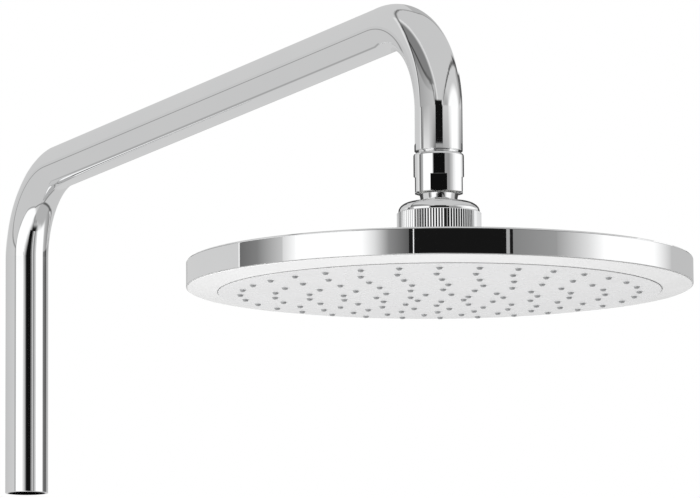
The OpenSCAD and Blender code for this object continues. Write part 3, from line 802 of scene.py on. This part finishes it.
def noise(tree, scale):
    """Noise over the object's own coordinates, in features per metre."""
    place = tree.nodes.new("ShaderNodeTexCoord")
    made = tree.nodes.new("ShaderNodeTexNoise")
    made.inputs["Scale"].default_value = scale
    made.inputs["Detail"].default_value = NOISE_DETAIL
    tree.links.new(place.outputs["Object"], made.inputs["Vector"])
    return made.outputs["Fac"]


def spread(tree, source, low, high, target):
    """Feeds noise to a socket, spread between low and high."""
    made = tree.nodes.new("ShaderNodeMapRange")
    made.inputs["From Min"].default_value = NOISE_LOW
    made.inputs["From Max"].default_value = NOISE_HIGH
    made.inputs["To Min"].default_value = low
    made.inputs["To Max"].default_value = high
    tree.links.new(source, made.inputs["Value"])
    tree.links.new(made.outputs["Result"], target)


def tint(tree, source, first, second, target):
    """Mixes two colours by noise into a colour socket."""
    made = tree.nodes.new("ShaderNodeValToRGB")
    made.color_ramp.elements[0].position = NOISE_LOW
    made.color_ramp.elements[1].position = NOISE_HIGH
    made.color_ramp.elements[0].color = (*first, 1)
    made.color_ramp.elements[1].color = (*second, 1)
    tree.links.new(source, made.inputs["Fac"])
    tree.links.new(made.outputs["Color"], target)


def bump(tree, source, height, target):
    """Feeds relief of the given height in metres to a normal socket."""
    made = tree.nodes.new("ShaderNodeBump")
    made.inputs["Strength"].default_value = 1
    made.inputs["Distance"].default_value = height
    tree.links.new(source, made.inputs["Height"])
    tree.links.new(made.outputs["Normal"], target)


def finish_material(name, first, second, roughness, metallic, scale, relief, relief_scale):
    """Material whose colour and roughness drift between two values, with a fine relief if it has one."""
    made, tree, shader = material(name)
    shader.inputs["Metallic"].default_value = metallic
    drift = noise(tree, scale)
    tint(tree, drift, first, second, shader.inputs["Base Color"])
    spread(tree, drift, *roughness, shader.inputs["Roughness"])
    if relief:
        bump(tree, noise(tree, relief_scale), relief, shader.inputs["Normal"])
    return made


def dress(obj, body, slot, nodes):
    """Puts a new piece in place of CAD nodes, with its body and finish."""
    obj.data.materials.clear()
    obj.data.materials.append(materials[slot])
    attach(obj, body)
    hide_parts(*nodes)


# Stage


def larger(tree, first, second):
    """The larger of two sockets."""
    made = tree.nodes.new("ShaderNodeMath")
    made.operation = "MAXIMUM"
    tree.links.new(first, made.inputs[0])
    tree.links.new(second, made.inputs[1])
    return made.outputs["Value"]


def show_front(tree, front, output):
    """Shows a shader from in front and nothing from behind."""
    side = tree.nodes.new("ShaderNodeNewGeometry")
    clear = tree.nodes.new("ShaderNodeBsdfTransparent")
    one_sided = tree.nodes.new("ShaderNodeMixShader")
    tree.links.new(side.outputs["Backfacing"], one_sided.inputs["Fac"])
    tree.links.new(front, one_sided.inputs[1])
    tree.links.new(clear.outputs["BSDF"], one_sided.inputs[2])
    tree.links.new(one_sided.outputs["Shader"], output.inputs["Surface"])


def make_world():
    """Even white world: full white to camera, gloss and glass, a little softer as light."""
    world = bpy.data.worlds.new("studio")
    bpy.context.scene.world = world
    world.use_nodes = True
    tree = world.node_tree
    tree.nodes.clear()
    path = tree.nodes.new("ShaderNodeLightPath")
    sight = larger(tree, path.outputs["Is Camera Ray"], path.outputs["Is Glossy Ray"])
    seen = larger(tree, sight, path.outputs["Is Transmission Ray"])
    level = tree.nodes.new("ShaderNodeMapRange")
    level.inputs["To Min"].default_value = WORLD_LIGHT
    level.inputs["To Max"].default_value = 1
    background = tree.nodes.new("ShaderNodeBackground")
    background.inputs["Color"].default_value = (1, 1, 1, 1)
    output = tree.nodes.new("ShaderNodeOutputWorld")
    tree.links.new(seen, level.inputs["Value"])
    tree.links.new(level.outputs["Result"], background.inputs["Strength"])
    tree.links.new(background.outputs["Background"], output.inputs["Surface"])


def card_material():
    """Glow in the grey levels that each card's mesh carries, clear from behind."""
    made = bpy.data.materials.new("card")
    made.use_nodes = True
    tree = made.node_tree
    tree.nodes.clear()
    shade = tree.nodes.new("ShaderNodeAttribute")
    shade.attribute_name = "shade"
    glow = tree.nodes.new("ShaderNodeEmission")
    tree.links.new(shade.outputs["Color"], glow.inputs["Color"])
    show_front(tree, glow.outputs["Emission"], tree.nodes.new("ShaderNodeOutputMaterial"))
    return made


def glow_mesh(name, points, faces, shades, shader):
    """Stage mesh with a grey level at each point, which only reflections see."""
    mesh = bpy.data.meshes.new(name)
    mesh.from_pydata(points, [], faces)
    layer = mesh.color_attributes.new("shade", "FLOAT_COLOR", "POINT")
    for item, shade in zip(layer.data, shades):
        item.color = (shade, shade, shade, 1)
    mesh.materials.append(shader)
    card = bpy.data.objects.new(name, mesh)
    bpy.context.collection.objects.link(card)
    card.visible_camera = False
    card.visible_diffuse = False
    card.visible_transmission = False
    card.visible_shadow = False


def make_wall(name, axis_x, radius, low, high, strips, shader):
    """Upright ring of cards about an axis, for one stripe or more in the piece on that axis."""
    points, faces, shades = [], [], []
    for left, right, *levels in strips:
        count = math.ceil((right - left) / WALL_STEP)
        base = len(points)
        for i in range(count + 1):
            share = i / count
            out = direction(CAMERA_TURN + left + (right - left) * share, 0) * radius
            for z, (first, last) in ((low, levels[:2]), (high, levels[-2:])):
                points.append((axis_x + out.x, out.y, z))
                shades.append(first + (last - first) * share)
        for i in range(count):
            a = base + 2 * i
            faces.append((a, a + 1, a + 3, a + 2))
    glow_mesh(name, points, faces, shades, shader)


def cover(place, half, corners):
    """Share of a shape at a place: a line that fades over its half width, or 1 within an outline."""
    if half:
        near = []
        for a, b in zip(corners, corners[1:]):
            foot, share = intersect_point_line(place, a, b)
            foot = Vector(a) if share < 0 else Vector(b) if share > 1 else foot.to_2d()
            near.append((place - foot).length)
        return max(0, 1 - (min(near) / half) ** 2)
    held = False
    for (ax, ay), (bx, by) in zip(corners, corners[1:] + corners[:1]):
        if (ay > place.y) != (by > place.y) and place.x < ax + (bx - ax) * (place.y - ay) / (by - ay):
            held = not held
    return int(held)


def below(turn, rise):
    """Place of a direction on the floor, in degrees away from straight down."""
    away = math.radians(turn)
    return Vector((math.sin(away), math.cos(away))) * (90 + rise)


def dome_shade(turn, rise):
    """Grey level in a direction: arches, the last card that holds it, then the drawn shapes."""
    level = DOME_LEVEL
    for middle, half, top, shade, soft in DOME_ARCHES:
        depth = 1 - math.hypot((turn - middle) / half, rise / top)
        if rise > 0 and depth > 0:
            level += (shade - level) * (min(1, depth / soft) if soft else 1)
    for left, right, low, high, first, last, lean in DOME_CARDS:
        share = (turn - lean * rise - left) / (right - left)
        if 0 <= share <= 1 and low <= rise <= high:
            level = first + (last - first) * share
    if rise > WALL_FOOT_RISE:
        for shade, half, corners in WALL_SHAPES:
            level += (shade - level) * cover(Vector((turn, rise)), half, corners)
    else:
        for shade, corners in FLOOR_PATCHES:
            level += (shade - level) * cover(below(turn, rise), 0, corners)
    return level


def dome_rows(turns, rises):
    """Grey levels of the dome, row by row: the floor's patches blurred, its lines sharp."""
    rows = [[dome_shade(turn, rise) for turn in turns] for rise in rises]
    width = len(turns)
    soft_rows = sum(rise < FLOOR_SOFT_RISE for rise in rises)
    for _ in range(FLOOR_SOFT_PASSES):
        blurred = [[(row[i - 1] + row[i] + row[(i + 1) % width]) / 3 for i in range(width)] for row in rows]
        for j in range(1, soft_rows):
            rows[j] = [sum(trio) / 3 for trio in zip(blurred[j - 1], blurred[j], blurred[j + 1])]
    for row, rise in zip(rows, rises):
        if rise < WALL_FOOT_RISE:
            for i, turn in enumerate(turns):
                for shade, half, corners in FLOOR_LINES:
                    row[i] += (shade - row[i]) * cover(below(turn, rise), half, corners)
    return rows


def make_dome(shader):
    """Far studio walls, floor and ceiling, which the riser, the bends, the arm and the gloss show."""
    middle = Vector((reach, 0, pivot.z))
    turns = [DOME_STEP * i - 180 for i in range(int(360 / DOME_STEP) + 1)]
    rises = [DOME_STEP * j - 90 for j in range(int(180 / DOME_STEP) + 1)]
    points = [
        tuple(middle + direction(CAMERA_TURN + turn, rise) * DOME_R)
        for rise in rises
        for turn in turns
    ]
    width = len(turns)
    faces = []
    for j in range(len(rises) - 1):
        for i in range(width - 1):
            a = j * width + i
            faces.append((a, a + width, a + width + 1, a + 1))
    glow_mesh("dome", points, faces, [shade for row in dome_rows(turns, rises) for shade in row], shader)


def make_floor():
    """Round pale floor far below, which shows from above. In its place gloss shows the dome."""
    edge = [
        (reach + FLOOR_R * math.cos(a), FLOOR_R * math.sin(a), FLOOR_Z)
        for a in even_angles(FLOOR_SIDES)
    ]
    mesh = bpy.data.meshes.new("floor")
    mesh.from_pydata(edge, [], [tuple(range(FLOOR_SIDES))])
    floor = bpy.data.objects.new("floor", mesh)
    bpy.context.collection.objects.link(floor)
    made, tree, shader = material("floor")
    shader.inputs["Base Color"].default_value = (FLOOR_GREY, FLOOR_GREY, FLOOR_GREY, 1)
    shader.inputs["Roughness"].default_value = FLOOR_ROUGHNESS
    path = tree.nodes.new("ShaderNodeLightPath")
    share = tree.nodes.new("ShaderNodeMath")
    share.operation = "MULTIPLY"
    share.inputs[1].default_value = FLOOR_WHITE
    white = tree.nodes.new("ShaderNodeEmission")
    blend = tree.nodes.new("ShaderNodeMixShader")
    sight = larger(tree, path.outputs["Is Camera Ray"], path.outputs["Is Glossy Ray"])
    tree.links.new(sight, share.inputs[0])
    tree.links.new(share.outputs["Value"], blend.inputs["Fac"])
    tree.links.new(shader.outputs["BSDF"], blend.inputs[1])
    tree.links.new(white.outputs["Emission"], blend.inputs[2])
    show_front(tree, blend.outputs["Shader"], tree.nodes["Material Output"])
    floor.data.materials.append(made)
    floor.visible_glossy = False


def make_lamp(name, turn, rise, distance, size, power):
    """Soft area lamp aimed at the head; chrome shows the cards and not the lamp."""
    data = bpy.data.lights.new(name, "AREA")
    data.shape = "DISK"
    data.size = size
    data.energy = power
    lamp = bpy.data.objects.new(name, data)
    bpy.context.collection.objects.link(lamp)
    back = direction(CAMERA_TURN + turn, rise)
    lamp.location = Vector((reach, 0, band_low)) + back * distance
    lamp.rotation_mode = "QUATERNION"
    lamp.rotation_quaternion = (-back).to_track_quat("-Z", "Y")
    lamp.visible_glossy = False


bpy.context.scene.view_settings.view_transform = "Standard"
make_camera()
make_world()
cards = card_material()
for wall in WALLS:
    make_wall(*wall, cards)
make_dome(cards)
make_floor()
for name, lamp in LAMPS.items():
    make_lamp(name, *lamp)

materials = {slot: finish_material(slot, *finish) for slot, finish in FINISHES.items()}
dress(make_arm_tube(), "arm", "chrome", ["arm_tube"])
dress(make_connector(), "arm", "chrome", ["swivel_connector"])
dress(make_collar(), "head", "chrome", ["collar_nut"])
dress(make_head_shell(), "head", "chrome", ["head_shell"])
dress(make_face_ring(), "head", "ring_plastic", ["face_ring"])
dress(make_spray_plate(), "head", "face_plastic", ["spray_plate"])
dress(make_nozzle_mat(), "head", "silicone", ["nozzle_mat"])

slots = {part["node"]: part["material_slot"] for part in frame["record"]["subparts"]}
for node, obj in frame["nodes"].items():
    obj.data.materials.clear()
    obj.data.materials.append(materials[slots[node]])
